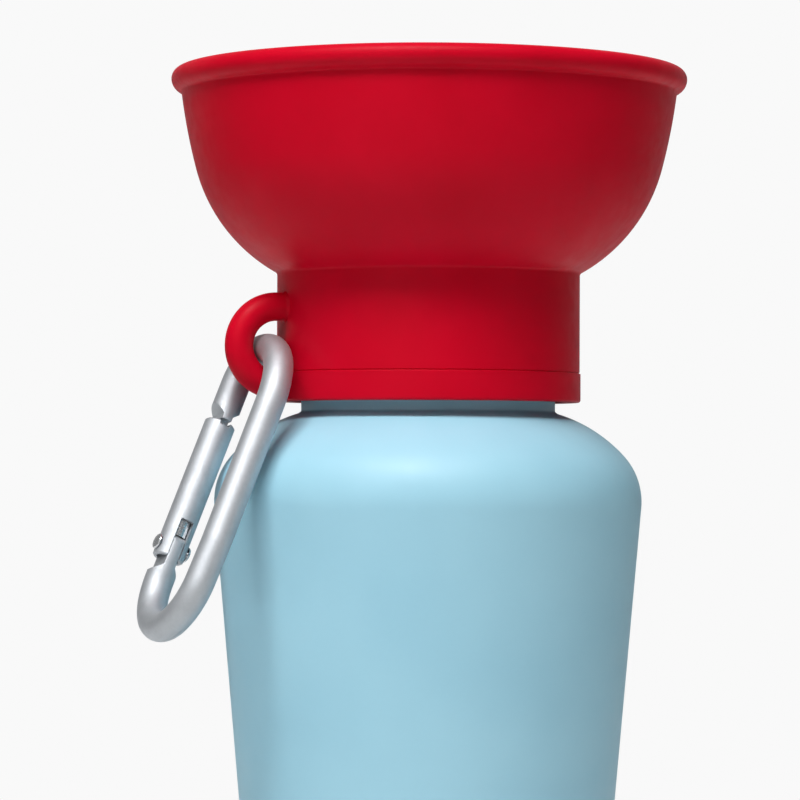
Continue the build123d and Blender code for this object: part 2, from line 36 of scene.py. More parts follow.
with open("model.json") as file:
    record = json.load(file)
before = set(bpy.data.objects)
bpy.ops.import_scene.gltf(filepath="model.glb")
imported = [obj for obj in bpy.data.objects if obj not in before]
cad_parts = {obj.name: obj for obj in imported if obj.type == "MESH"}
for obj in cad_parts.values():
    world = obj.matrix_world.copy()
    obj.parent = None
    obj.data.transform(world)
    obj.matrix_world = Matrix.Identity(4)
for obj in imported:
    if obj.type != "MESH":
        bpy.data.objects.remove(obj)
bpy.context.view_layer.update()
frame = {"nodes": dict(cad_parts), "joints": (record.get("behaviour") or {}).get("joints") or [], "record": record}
joints = {joint["name"]: joint for joint in frame["joints"]}


def corners_mm(node):
    """Lowest and highest corner of a CAD node, in millimetres."""
    low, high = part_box(node)
    return low / MM, high / MM


# ---- sizes taken from the frame ----
bottle_high = corners_mm("bottle")[1]
bowl_high = corners_mm("bowl_top")[1]
BODY_RADIUS = bottle_high.y
MOUTH_Z = bottle_high.z
BEAD_RADIUS = bowl_high.y
BEAD_TOP_Z = bowl_high.z

# ---- bottle ----
MOUTH_RISE = 12.0  # the mouth stands this far above the collar's lower edge
COLLAR_EDGE_Z = MOUTH_Z - MOUTH_RISE
SIDE_TAPER = radians(5.07)
CORNER_ROUND = 14.5  # shoulder into side
SHOULDER_START = radians(17.0)
SHOULDER_MID = radians(47.5)
NECK_GAP = 2.4  # from the top of the shoulder up to the collar
SHOULDER_TOP_Z = COLLAR_EDGE_Z - NECK_GAP
HEEL_ROUND = 5.0
BOTTLE_WALL = 1.3
PUSH_UP_RADIUS = 24.0
PUSH_UP_DEPTH = 2.5
PUSH_UP_POWER = 2.6  # a higher power makes the push-up's crown flatter
NECK_RADIUS = 27.0
NECK_BORE = 24.4
NECK_FOOT = 0.6  # width of the hollow round at the neck's foot
NECK_FOOT_DROP = 0.2  # how far under that round's top its corner lies
NECK_FOOT_ROUND = 0.5
NECK_INNER_RISE = 0.2  # how far over the inner shoulder the bore's corner lies
NECK_INNER_ROUND = 0.6
MOUTH_OUTER_ROUND = 0.5
MOUTH_INNER_ROUND = 0.4
BOTTLE_SEGMENTS = 288
NECK_STEP = 1.5  # longest straight run of the neck's outline
PUSH_UP_STEPS = 16
HEEL_STEPS = 12
SIDE_STEPS = 40
SHOULDER_STEPS = 56

# ---- screw thread ----
PITCH = 4.2
THREAD_DEPTH = 1.8
THREAD_ROOT_HALF = 1.15
THREAD_CREST_HALF = 0.6
THREAD_CREST_INSET = 0.2  # the flat crest's corners lie this far inside its half width
THREAD_BROW_SPREAD = 0.06  # the brows lie this far outside it
THREAD_BROW_SHARE = 0.86  # height of the brows, as a share of the crest's
THREAD_SUNK = 0.3  # depth of the ridge's foot inside the wall
THREAD_LEAST = 0.02  # share of its depth that is left where the ridge runs out
THREAD_STEPS = 120  # in a turn
THREAD_FADE_STEPS = 14  # over which an end runs out
THREAD_START_Z = COLLAR_EDGE_Z + 3.4
NECK_THREAD_TURNS = 1.25
COLLAR_THREAD_TURNS = 1.0
COLLAR_THREAD_ANGLE = radians(30.0)

# ---- bowl and collar ----
COLLAR_BORE = 29.1
COLLAR_RADIUS = 32.2
BAND_HEIGHT = 6.2
BAND_STEP = 0.2
COLLAR_INNER_ROUND = 0.5
COLLAR_OUTER_ROUND = 0.55
COLLAR_START = 2.0  # height inside the bore where the moulding's outline starts
COLLAR_TOP_DROP = 1.0  # how far under the bowl the collar's straight side ends
LINE_DEPTH = 0.16  # the witness line over the band: depth, floor and lips
LINE_FLOOR_LOW = 0.06
LINE_FLOOR_HIGH = 0.14
LINE_FLOOR_ROUND = 0.05
LINE_LIP_LOW = 0.12
LINE_LIP_HIGH = 0.2
LINE_LIP_ROUND = 0.1
FOOT_ROUND = 0.9  # collar into bowl
FOOT_LIFT = 0.03  # radians of the bowl's round that this corner takes
BOWL_ROUND = 35.4
BOWL_ROUND_X = 15.3
BOWL_ROUND_Z = COLLAR_EDGE_Z + 58.5
BOWL_FLARE = radians(14.8)
BOWL_UPPER_ROUND = 125.0
BOWL_WALL = 2.0
BEAD_UPPER_ROUND = 2.2
BEAD_LOWER_ROUND = 2.75
BEAD_HOLLOW = 0.7  # small round where the bead meets the wall
PORT_RADIUS = 5.7
FLOOR_Z = COLLAR_EDGE_Z + 26.0
FLOOR_SLOPE = radians(8.3)
FLOOR_THICKNESS = 1.9
FLOOR_CORNER_ROUND = 3.2
FLOOR_CORNER_RUN = 5.5  # length of the floor that its corner with the wall takes
FLOOR_LIFT = 0.16  # radians of the bowl's round that this corner takes
STEEPEST_FLOOR = 1.4  # radians, beyond any slope where wall and floor could meet
PORT_TOP_ROUND = 0.35
PORT_LOW_ROUND = 0.25
BOWL_SEGMENTS = 240  # keeps the moulding's mesh under 200,000 triangles
MOULDING_STEP = 2.5  # longest straight run of the collar's and the underside's outline
ROUND_OUT_STEPS = 60
ROUND_IN_STEPS = 50

# ---- underneath the bowl ----
FLANGE_TOP_Z = MOUTH_Z + 3.0
CHIMNEY_BORE = 9.0
CHIMNEY_OUTER = 11.0
CHIMNEY_LOW = FLANGE_TOP_Z + 0.8
GROOVE_RADIUS = 10.0
GROOVE_LOW = FLANGE_TOP_Z + 2.0
GROOVE_TOP = GROOVE_LOW + 2.2
HOLD_DOWN_OUTER = 26.4
HOLD_DOWN_INNER = 24.6
HOLD_DOWN_LOW = FLANGE_TOP_Z + 0.15
EDGE_ROUND = 0.3  # outer edges of the chimney and the hold-down ring
ROOT_ROUND = 0.5  # where they meet the floor
GROOVE_ROUND = 0.1

# ---- carrying loop ----
LOOP_RADIUS = 8.2
LOOP_ROD = 3.0
LOOP_OFFSET = 1.7  # the ring's centre stands this far outside the collar
LOOP_RISE = 11.6  # the ring's centre over the collar's lower edge
LOOP_CENTRE = Vector((-(COLLAR_RADIUS + LOOP_OFFSET), 0, COLLAR_EDGE_Z + LOOP_RISE))
LOOP_SUNK = 2.4  # length of the legs inside the collar's surface
LOOP_FLARE = 0.35  # small fillet where a leg meets the wall
LOOP_SIDES = 48
LEG_STEPS = 12
RING_STEPS = 72

# ---- snap hook ----
# In the hook's plane, x runs from the spine to the gate and y is 0 at the top bow's centre line.
ROD = 3.1
SPINE_X = -11.65
GATE_X = 11.5
GATE_SLANT = radians(0.25)
HOOK_BOTTOM = 65.4
SPINE_END = 47.9
BOW_START_X = -10.35
HOOK_ROUNDS = [6.9, 16.0, 20.0, 9.9, 12.6]  # bends from the nose round to the hinge
ROD_SIDES = 56
ROD_STEP = 1.2  # longest straight run of the rod's line
BEND_STEPS = 26
PIN_DROP = 45.65
GATE_RADIUS = 3.3
GATE_BORE = 2.4
GATE_TAIL = 2.6
GATE_LENGTH = 29.3
GATE_END_WALL = 6.3
GATE_CHAMFER = 0.3
GATE_SIDES = 64
GATE_BEVEL = 0.1
ROD_BEVEL = 0.14

# ---- tongues and slots of the snap hook, in the gate's frame with the pin at the origin ----
NOSE_TIP = GATE_LENGTH - 3.4
HINGE_END = 2.2
CHEEK_MARGIN = 0.2  # a slanted cheek ends this far outside the rod
FLANK_MARGIN = 0.1
CUT_MARGIN = 1.5  # cutters reach this far outside the rod
NOSE_TONGUE_HALF = 1.1
NOSE_TONGUE_FOOT = GATE_LENGTH + 1.6
NOSE_CHEEK_TOP = NOSE_TONGUE_FOOT + 2.1
NOSE_CUT_LOW = 20.0
NOSE_FLAT_X = -1.4
NOSE_FLAT_TOP = GATE_LENGTH + 0.5
HINGE_TONGUE_HALF = 1.3
HINGE_TONGUE_FOOT = -4.5
HINGE_CHEEK_FOOT = -6.5
HINGE_CUT_TOP = 3.0
BROW_HALF = 1.8  # flat middle of the hinge end's rounded top
BROW_STEPS = 8
CUT_BEYOND = 1.0  # cutters reach this far past the gate's ends
CUT_APART = 0.1  # keeps the faces of two cutters off each other
CUT_OVERLAP = 0.01
HINGE_SLOT_HALF = 1.45
HINGE_SLOT_INNER_TOP = 6.0  # the slot is longer on the spine's side
HINGE_SLOT_OUTER_TOP = 3.3
NOSE_SLOT_HALF = 1.25
NOSE_SLOT_X = -1.55
NOSE_SLOT_DEPTH = 4.0
NOSE_NOTCH_DEPTH = 1.0
PIN_HOLE = 1.05
PIN_HOLE_REACH = 5.0
PIN_HOLE_SIDES = 32

# ---- rivet ----
RIVET_SHANK = 1.0
RIVET_HEAD = 1.7
RIVET_SEAT = 0.05  # the heads stand this far off the gate
RIVET_RIM = 0.12
RIVET_DOME = 0.63
RIVET_STEPS = 8
RIVET_SEGMENTS = 40

# ---- mesh making ----
ON_AXIS = 1e-6  # a lathe point nearer to the axis than this is one vertex
MERGE_DISTANCE = 1e-7  # metres
BISECTIONS = 40
CREASE = 40  # degrees; faces that meet at more keep a hard edge
THREAD_CREASE = 50
LOOP_CREASE = 60
NORMAL_WEIGHT = 60
BEVEL_ANGLE = radians(28)
BEVEL_SEGMENTS = 2


# =====================================================================================
# meshes
# =====================================================================================

def arc(centre, radius, start, end, steps):
    """Points of an arc in (radius, z), angles from the first axis, ends included."""
    points = []
    for index in range(steps + 1):
        angle = start + (end - start) * index / steps
        points.append((centre[0] + radius * cos(angle), centre[1] + radius * sin(angle)))
    return points


def rounded(corners, steps=5):
    """Outline through corners (a, b, radius), each rounded by an arc of its radius."""
    points = []
    last = len(corners) - 1
    for index, (a, b, radius) in enumerate(corners):
        here = Vector((a, b))
        if radius == 0 or index in (0, last):
            points.append((a, b))
            continue
        before = (Vector(corners[index - 1][:2]) - here).normalized()
        after = (Vector(corners[index + 1][:2]) - here).normalized()
        half = acos(max(-1.0, min(1.0, before.dot(after)))) / 2
        centre = here + (before + after).normalized() * (radius / sin(half))
        first = here + before * (radius / tan(half)) - centre
        sweep = pi - 2 * half
        if before.x * after.y - before.y * after.x > 0:
            sweep = -sweep
        for step in range(steps + 1):
            angle = sweep * step / steps
            turned = Matrix.Rotation(angle, 2) @ first
            points.append(tuple(centre + turned))
    return points


def split_long(points, longest):
    """The same outline with no straight run longer than a length."""
    finer = [points[0]]
    for start, end in zip(points, points[1:]):
        run = hypot(end[0] - start[0], end[1] - start[1])
        pieces = max(1, int(run / longest + 0.999))  # rounded up
        for index in range(1, pieces + 1):
            share = index / pieces
            finer.append((start[0] + (end[0] - start[0]) * share, start[1] + (end[1] - start[1]) * share))
    return finer


def mesh_object(name, vertices, faces):
    """Object from vertices in millimetres, smooth shaded, normals outwards."""
    mesh = bpy.data.meshes.new(name)
    mesh.from_pydata([Vector(v) * MM for v in vertices], [], faces)
    shape = bmesh.new()
    shape.from_mesh(mesh)
    bmesh.ops.remove_doubles(shape, verts=shape.verts, dist=MERGE_DISTANCE)
    bmesh.ops.recalc_face_normals(shape, faces=shape.faces)
    shape.to_mesh(mesh)
    shape.free()
    mesh.polygons.foreach_set("use_smooth", [True] * len(mesh.polygons))
    obj = bpy.data.objects.new(name, mesh)
    bpy.context.scene.collection.objects.link(obj)
    return obj


def lathe(name, outline, segments):
    """Closed solid of revolution round Z. The outline is closed, or ends on the axis."""
    vertices = []
    faces = []
    rings = []
    for radius, z in outline:
        if radius < ON_AXIS:
            rings.append([len(vertices)] * segments)
            vertices.append((0, 0, z))
            continue
        rings.append(list(range(len(vertices), len(vertices) + segments)))
        for index in range(segments):
            angle = 2 * pi * index / segments
            vertices.append((radius * cos(angle), radius * sin(angle), z))
    pairs = list(zip(rings, rings[1:]))
    if outline[0][0] > ON_AXIS:
        pairs.append((rings[-1], rings[0]))
    for low, high in pairs:
        for index in range(segments):
            after = (index + 1) % segments
            face = []
            for corner in (low[index], low[after], high[after], high[index]):
                if corner not in face:
                    face.append(corner)
            if len(face) > 2:
                faces.append(face)
    return mesh_object(name, vertices, faces)


def skin(name, rings):
    """Tube through rings of points, with both ends capped."""
    count = len(rings[0])
    vertices = [point for ring in rings for point in ring]
    faces = []
    for index in range(len(rings) - 1):
        here = index * count
        there = here + count
        for side in range(count):
            after = (side + 1) % count
            faces.append((here + side, here + after, there + after, there + side))
    faces.append(tuple(range(count)))
    faces.append(tuple(range(len(vertices) - count, len(vertices))))
    return mesh_object(name, vertices, faces)


def finish_edges(obj, crease=CREASE):
    """Soft edges by weighted normals, with hard edges kept by their angle."""
    obj.data.set_sharp_from_angle(angle=radians(crease))
    weighted = obj.modifiers.new("weighted", "WEIGHTED_NORMAL")
    weighted.keep_sharp = True
    weighted.weight = NORMAL_WEIGHT


def apply_modifiers(obj):
    """Puts what the modifiers make into the mesh itself."""
    depsgraph = bpy.context.evaluated_depsgraph_get()
    made = bpy.data.meshes.new_from_object(obj.evaluated_get(depsgraph))
    obj.modifiers.clear()
    obj.data = made


def cut(obj, cutters):
    """Takes others away from an object by exact booleans, and deletes them."""
    for cutter in cutters:
        change = obj.modifiers.new("cut", "BOOLEAN")
        change.operation = "DIFFERENCE"
        change.object = cutter
        change.solver = "EXACT"
    apply_modifiers(obj)
    for cutter in cutters:
        bpy.data.objects.remove(cutter)


def break_edges(obj, width):
    """Small rounded edges wherever two faces meet at more than an angle."""
    bevel = obj.modifiers.new("edges", "BEVEL")
    bevel.width = width * MM
    bevel.segments = BEVEL_SEGMENTS
    bevel.limit_method = "ANGLE"
    bevel.angle_limit = BEVEL_ANGLE
    bevel.use_clamp_overlap = True
    bevel.harden_normals = False
    apply_modifiers(obj)
    obj.data.polygons.foreach_set("use_smooth", [True] * len(obj.data.polygons))


# =====================================================================================
# bottle
# =====================================================================================

def shoulder_round():
    """Radius of the shoulder's first round, from the neck's and the body's radius."""
    corner_run = CORNER_ROUND * (1 - sin(SHOULDER_MID))
    run = BODY_RADIUS - (NECK_RADIUS + NECK_FOOT) - corner_run
    return run / (sin(SHOULDER_MID) - sin(SHOULDER_START))


def shoulder_point(slope, inset=0.0):
    """Point of the shoulder where it slopes so many radians."""
    first = shoulder_round()
    end = min(slope, SHOULDER_MID)
    radius = NECK_RADIUS + NECK_FOOT + first * (sin(end) - sin(SHOULDER_START))
    z = SHOULDER_TOP_Z + first * (cos(end) - cos(SHOULDER_START))
    if slope > SHOULDER_MID:
        radius += CORNER_ROUND * (sin(slope) - sin(SHOULDER_MID))
        z += CORNER_ROUND * (cos(slope) - cos(SHOULDER_MID))
    return radius - inset * sin(slope), z - inset * cos(slope)


def side_radius(z):
    """Outer radius of the straight side at a height."""
    radius, top = shoulder_point(pi / 2 + SIDE_TAPER)
    return radius - (top - z) * tan(SIDE_TAPER)


def bottle_skin(inset):
    """Outline of the bottle from the middle of its base to the foot of its neck."""
    points = []
    crown = PUSH_UP_DEPTH + inset
    for index in range(PUSH_UP_STEPS + 1):
        share = index / PUSH_UP_STEPS
        points.append((PUSH_UP_RADIUS * share, crown - PUSH_UP_DEPTH * share ** PUSH_UP_POWER))
    centre = (side_radius(HEEL_ROUND) - HEEL_ROUND / cos(SIDE_TAPER), HEEL_ROUND)
    points += arc(centre, HEEL_ROUND - inset, -pi / 2, -SIDE_TAPER, HEEL_STEPS)
    top = shoulder_point(pi / 2 + SIDE_TAPER, inset)
    foot = points[-1]
    for index in range(1, SIDE_STEPS):
        share = index / SIDE_STEPS
        points.append((foot[0] + (top[0] - foot[0]) * share, foot[1] + (top[1] - foot[1]) * share))
    sweep = SHOULDER_START - pi / 2 - SIDE_TAPER
    for index in range(SHOULDER_STEPS + 1):
        slope = pi / 2 + SIDE_TAPER + sweep * index / SHOULDER_STEPS
        points.append(shoulder_point(slope, inset))
    return points


def make_bottle():
    """Blow-moulded shell with its neck and mouth."""
    outer = bottle_skin(0)
    inner = bottle_skin(BOTTLE_WALL)
    foot_z = SHOULDER_TOP_Z + NECK_FOOT
    neck = rounded([
        (*outer[-1], 0),
        (NECK_RADIUS, foot_z - NECK_FOOT_DROP, NECK_FOOT_ROUND),
        (NECK_RADIUS, MOUTH_Z, MOUTH_OUTER_ROUND),
        (NECK_BORE, MOUTH_Z, MOUTH_INNER_ROUND),
        (NECK_BORE, inner[-1][1] + NECK_INNER_RISE, NECK_INNER_ROUND),
        (*inner[-1], 0),
    ])
    outline = outer[:-1] + split_long(neck, NECK_STEP) + inner[:-1][::-1]
    bottle = lathe("bottle_shell", outline, BOTTLE_SEGMENTS)
    finish_edges(bottle)
    return bottle


def thread(name, root, outwards, start_z, turns, start_angle):
    """Screw ridge on a wall of that radius, its ends run out into the wall."""
    steps = int(turns * THREAD_STEPS)
    rings = []
    for step in range(steps + 1):
        angle = start_angle + 2 * pi * turns * step / steps
        z = start_z + PITCH * turns * step / steps
        grown = min(1.0, step / THREAD_FADE_STEPS, (steps - step) / THREAD_FADE_STEPS)
        height = max(THREAD_LEAST, sin(grown * pi / 2)) * THREAD_DEPTH
        foot = root - outwards * THREAD_SUNK
        crest = root + outwards * height
        brow = root + outwards * height * THREAD_BROW_SHARE
        profile = [
            (foot, -THREAD_ROOT_HALF), (root, -THREAD_ROOT_HALF),
            (brow, -THREAD_CREST_HALF - THREAD_BROW_SPREAD), (crest, -THREAD_CREST_HALF + THREAD_CREST_INSET),
            (crest, THREAD_CREST_HALF - THREAD_CREST_INSET), (brow, THREAD_CREST_HALF + THREAD_BROW_SPREAD),
            (root, THREAD_ROOT_HALF), (foot, THREAD_ROOT_HALF),
        ]
        rings.append([(r * cos(angle), r * sin(angle), z + dz) for r, dz in profile])
    ridge = skin(name, rings)
    finish_edges(ridge, THREAD_CREASE)
    return ridge


# =====================================================================================
# bowl top
# =====================================================================================

def bowl_point(inset, slope):
    """Point on the bowl's round, slope 0 where it is level."""
    radius = BOWL_ROUND - inset
    return BOWL_ROUND_X + radius * sin(slope), BOWL_ROUND_Z - radius * cos(slope)


def slope_at(inset, radius):
    """Slope where the bowl's round passes a radius."""
    height = sqrt((BOWL_ROUND - inset) ** 2 - (radius - BOWL_ROUND_X) ** 2)
    return atan2(radius - BOWL_ROUND_X, height)


def floor_height(radius):
    """Height of the bowl's sloping floor at a radius."""
    return FLOOR_Z + (radius - PORT_RADIUS) * tan(FLOOR_SLOPE)


def upper_wall_radius(inset, z):
    """Radius of the bowl's upper wall at a height, a gentler round than the lower one."""
    start_radius, start_z = bowl_point(0, pi / 2 - BOWL_FLARE)
    centre = start_radius - BOWL_UPPER_ROUND * cos(BOWL_FLARE)
    centre_z = start_z + BOWL_UPPER_ROUND * sin(BOWL_FLARE)
    return centre + sqrt((BOWL_UPPER_ROUND - inset) ** 2 - (centre_z - z) ** 2)


def crossing(low, high, is_below):
    """Value between two limits where a test turns false, by bisection."""
    for _ in range(BISECTIONS):
        middle = (low + high) / 2
        if is_below(middle):
            low = middle
        else:
            high = middle
    return low


def upper_wall(inset, low, high, steps):
    """Points up the bowl's upper wall between two heights."""
    heights = [low + (high - low) * index / steps for index in range(steps + 1)]
    return [(upper_wall_radius(inset, z), z) for z in heights]


def bead_outline():
    """The rolled rim, from the outer wall over the crest to the inner wall."""
    nose_z = BEAD_TOP_Z - BEAD_UPPER_ROUND
    centre = BEAD_RADIUS - BEAD_LOWER_ROUND
    # a small hollow round joins the wall and the bead's lower round
    reach = BEAD_LOWER_ROUND + BEAD_HOLLOW

    def hollow_is_inside(z):
        run = sqrt(max(0.0, reach ** 2 - (nose_z - z) ** 2))
        return centre + run < upper_wall_radius(0, z) + BEAD_HOLLOW

    hollow_z = crossing(nose_z - reach, nose_z, hollow_is_inside)
    hollow_radius = upper_wall_radius(0, hollow_z) + BEAD_HOLLOW
    towards_bead = atan2(nose_z - hollow_z, centre - hollow_radius)
    hollow = arc((hollow_radius, hollow_z), BEAD_HOLLOW, pi, towards_bead, steps=7)
    lower = arc((centre, nose_z), BEAD_LOWER_ROUND, towards_bead - pi, 0, steps=18)
    crest = BEAD_RADIUS - BEAD_UPPER_ROUND
    upper = arc((crest, nose_z), BEAD_UPPER_ROUND, 0, pi / 2, steps=16)

    def is_outside(round_in):
        return crest - round_in > upper_wall_radius(BOWL_WALL, BEAD_TOP_Z - round_in)

    round_in = crossing(0.0, BEAD_LOWER_ROUND, is_outside)
    inner = arc((crest, BEAD_TOP_Z - round_in), round_in, pi / 2, pi, steps=12)
    return hollow + lower[1:] + upper[1:] + inner[1:]


def make_bowl():
    """Drinking bowl, collar and chimney: one moulding, turned from one outline."""
    upright = pi / 2 - BOWL_FLARE
    band = COLLAR_RADIUS + BAND_STEP
    band_z = COLLAR_EDGE_Z + BAND_HEIGHT
    line_radius = COLLAR_RADIUS - LINE_DEPTH
    foot_slope = slope_at(0, COLLAR_RADIUS)
    foot = bowl_point(0, foot_slope)
    collar_top = (COLLAR_RADIUS, foot[1] - COLLAR_TOP_DROP, 0)
    collar_start = (COLLAR_BORE, COLLAR_EDGE_Z + COLLAR_START, 0)
    collar = rounded([
        collar_start,
        (COLLAR_BORE, COLLAR_EDGE_Z, COLLAR_INNER_ROUND),
        (band, COLLAR_EDGE_Z, COLLAR_OUTER_ROUND),
        (band, band_z - LINE_LIP_LOW, LINE_LIP_ROUND),
        (line_radius, band_z - LINE_FLOOR_LOW, LINE_FLOOR_ROUND),
        (line_radius, band_z + LINE_FLOOR_HIGH, LINE_FLOOR_ROUND),
        (COLLAR_RADIUS, band_z + LINE_LIP_HIGH, LINE_LIP_ROUND),
        collar_top,
    ])
    corner = rounded([collar_top, (*foot, FOOT_ROUND), (*bowl_point(0, foot_slope + FOOT_LIFT), 0)], steps=8)
    rise = upright - foot_slope - FOOT_LIFT
    round_out = [
        bowl_point(0, foot_slope + FOOT_LIFT + rise * index / ROUND_OUT_STEPS)
        for index in range(1, ROUND_OUT_STEPS + 1)
    ]
    bead = bead_outline()
    wall_out = upper_wall(0, round_out[-1][1], bead[0][1], steps=14)
    inner_top = bowl_point(BOWL_WALL, upright)
    wall_in = upper_wall(BOWL_WALL, bead[-1][1], inner_top[1], steps=20)

    def is_under_floor(slope):
        radius, z = bowl_point(BOWL_WALL, slope)
        return z < floor_height(radius)

    floor_slope = crossing(0.0, STEEPEST_FLOOR, is_under_floor)
    floor_end = bowl_point(BOWL_WALL, floor_slope)
    fall = floor_slope + FLOOR_LIFT - upright
    round_in = [
        bowl_point(BOWL_WALL, upright + fall * index / ROUND_IN_STEPS)
        for index in range(1, ROUND_IN_STEPS + 1)
    ]
    near = floor_end[0] - FLOOR_CORNER_RUN
    floor_near = (near, floor_height(near), 0)
    floor_corner = rounded([(*round_in[-1], 0), (*floor_end, FLOOR_CORNER_ROUND), floor_near], steps=8)
    ceiling_z = FLOOR_Z - FLOOR_THICKNESS

    def ceiling(radius):
        return floor_height(radius) - FLOOR_THICKNESS

    port = rounded([
        floor_near,
        (PORT_RADIUS, FLOOR_Z, PORT_TOP_ROUND), (PORT_RADIUS, ceiling_z, PORT_LOW_ROUND),
        (CHIMNEY_BORE, ceiling_z, EDGE_ROUND), (CHIMNEY_BORE, GROOVE_TOP, 0),
        (GROOVE_RADIUS, GROOVE_TOP, GROOVE_ROUND), (GROOVE_RADIUS, GROOVE_LOW, GROOVE_ROUND),
        (CHIMNEY_BORE, GROOVE_LOW, GROOVE_ROUND), (CHIMNEY_BORE, CHIMNEY_LOW, EDGE_ROUND),
        (CHIMNEY_OUTER, CHIMNEY_LOW, EDGE_ROUND),
        (CHIMNEY_OUTER, ceiling(CHIMNEY_OUTER), ROOT_ROUND),
        (HOLD_DOWN_INNER, ceiling(HOLD_DOWN_INNER), ROOT_ROUND),
        (HOLD_DOWN_INNER, HOLD_DOWN_LOW, EDGE_ROUND),
        (HOLD_DOWN_OUTER, HOLD_DOWN_LOW, EDGE_ROUND),
        (HOLD_DOWN_OUTER, ceiling(HOLD_DOWN_OUTER), ROOT_ROUND),
        (COLLAR_BORE, ceiling(HOLD_DOWN_OUTER), ROOT_ROUND),
        collar_start,
    ], steps=4)
    outline = (
        split_long(collar, MOULDING_STEP) + corner[1:] + round_out + wall_out[1:] + bead[1:]
        + wall_in[1:] + round_in + floor_corner[1:] + split_long(port, MOULDING_STEP)[1:-1]
    )
    bowl = lathe("bowl_and_collar", outline, BOWL_SEGMENTS)
    finish_edges(bowl)
    return bowl


def make_loop():
    """Carrying loop: a half ring on two legs that run into the collar's wall."""
    reach = LOOP_OFFSET + LOOP_SUNK
    path = []
    for index in range(LEG_STEPS + 1):
        path.append((Vector((reach * (1 - index / LEG_STEPS), 0, LOOP_RADIUS)), Vector((0, 0, 1))))
    for index in range(1, RING_STEPS):
        angle = pi / 2 + pi * index / RING_STEPS
        outwards = Vector((cos(angle), 0, sin(angle)))
        path.append((outwards * LOOP_RADIUS, outwards))
    for index in range(LEG_STEPS + 1):
        path.append((Vector((reach * index / LEG_STEPS, 0, -LOOP_RADIUS)), Vector((0, 0, -1))))
    rings = []
    for point, outwards in path:
        depth = max(0.0, min(1.0, (point.x - LOOP_OFFSET + LOOP_FLARE) / LOOP_FLARE))
        grow = LOOP_FLARE * (1 - sqrt(max(0.0, 1 - depth ** 2)))
        ring = []
        for side in range(LOOP_SIDES):
            angle = 2 * pi * side / LOOP_SIDES
            offset = outwards * cos(angle) + Vector((0, 1, 0)) * sin(angle)
            ring.append(LOOP_CENTRE + point + offset * (LOOP_ROD + grow))
        rings.append(ring)
    loop = skin("carrying_loop", rings)
    finish_edges(loop, LOOP_CREASE)
    return loop


# =====================================================================================
# snap hook
# =====================================================================================

pin_place = Vector(joints["gate_open"]["pos_m"]) / MM
across = Vector(joints["gate_open"]["axis"]).normalized()
gate_up = Vector(joints["plunger_slide"]["axis"]).normalized()
gate_out = gate_up.cross(across).normalized()
# from the gate's frame to the model's: x away from the spine, y towards the nose, z towards the bottle
GATE_FRAME = Matrix((
    (gate_out.x, gate_up.x, across.x, pin_place.x),
    (gate_out.y, gate_up.y, across.y, pin_place.y),
    (gate_out.z, gate_up.z, across.z, pin_place.z),
    (0, 0, 0, 1),
))
HOOK_TO_GATE = Matrix.Rotation(-GATE_SLANT, 4, "Z")
gate_pin_in_hook = Vector((GATE_X + tan(GATE_SLANT) * PIN_DROP, -PIN_DROP, 0))


def in_gate(point):
    """A point of the hook's own plane, given in the gate's frame."""
    return HOOK_TO_GATE @ (Vector(point) - gate_pin_in_hook)


def place_in_model(obj):
    """Moves a piece modelled in the gate's frame, in metres, to where it belongs."""
    shift = GATE_FRAME.copy()
    shift.translation = GATE_FRAME.translation * MM
    obj.data.transform(shift)
    obj.data.update()


def hook_path():
    """Centre line of the bent rod in the gate's frame, from nose tip to hinge end."""
    slant = tan(GATE_SLANT)
    corners = [
        (GATE_X, 0),
        (SPINE_X, 0),
        (SPINE_X, -SPINE_END),
        (BOW_START_X, -HOOK_BOTTOM),
        (GATE_X + slant * HOOK_BOTTOM, -HOOK_BOTTOM),
    ]
    flat = [(0.0, NOSE_TIP, 0)]
    for (x, y), radius in zip(corners, HOOK_ROUNDS):
        point = in_gate((x, y, 0))
        flat.append((point.x, point.y, radius))
    flat.append((0.0, HINGE_END, 0))
    return split_long(rounded(flat, BEND_STEPS), ROD_STEP)


def rod(name, path, radius):
    """Round rod along a path in the gate's plane."""
    rings = []
    for index, (x, y) in enumerate(path):
        before = path[max(0, index - 1)]
        after = path[min(len(path) - 1, index + 1)]
        along = Vector((after[0] - before[0], after[1] - before[1])).normalized()
        outwards = Vector((along.y, -along.x, 0))
        ring = []
        for side in range(ROD_SIDES):
            angle = 2 * pi * side / ROD_SIDES
            ring.append(Vector((x, y, 0)) + radius * (outwards * cos(angle) + Vector((0, 0, sin(angle)))))
        rings.append(ring)
    return skin(name, rings)


def prism(name, outline, low, high, turn=None):
    """Straight prism: outline in (x, y), from z low to z high, turned by a matrix."""
    count = len(outline)
    vertices = [(x, y, low) for x, y in outline] + [(x, y, high) for x, y in outline]
    faces = [tuple(range(count)), tuple(range(count, 2 * count))]
    for index in range(count):
        after = (index + 1) % count
        faces.append((index, after, count + after, count + index))
    obj = mesh_object(name, vertices, faces)
    obj.data.polygons.foreach_set("use_smooth", [False] * len(obj.data.polygons))
    if turn is not None:
        obj.data.transform(turn)
    return obj


def block(name, x, y, z):
    """Box between pairs of limits."""
    return prism(name, [(x[0], y[0]), (x[1], y[0]), (x[1], y[1]), (x[0], y[1])], *z)


# Turns a prism to run along the gate frame's x, so that its outline is given as (-z, y) there.
ACROSS = Matrix(((0, 0, 1, 0), (0, 1, 0, 0), (-1, 0, 0, 0), (0, 0, 0, 1)))


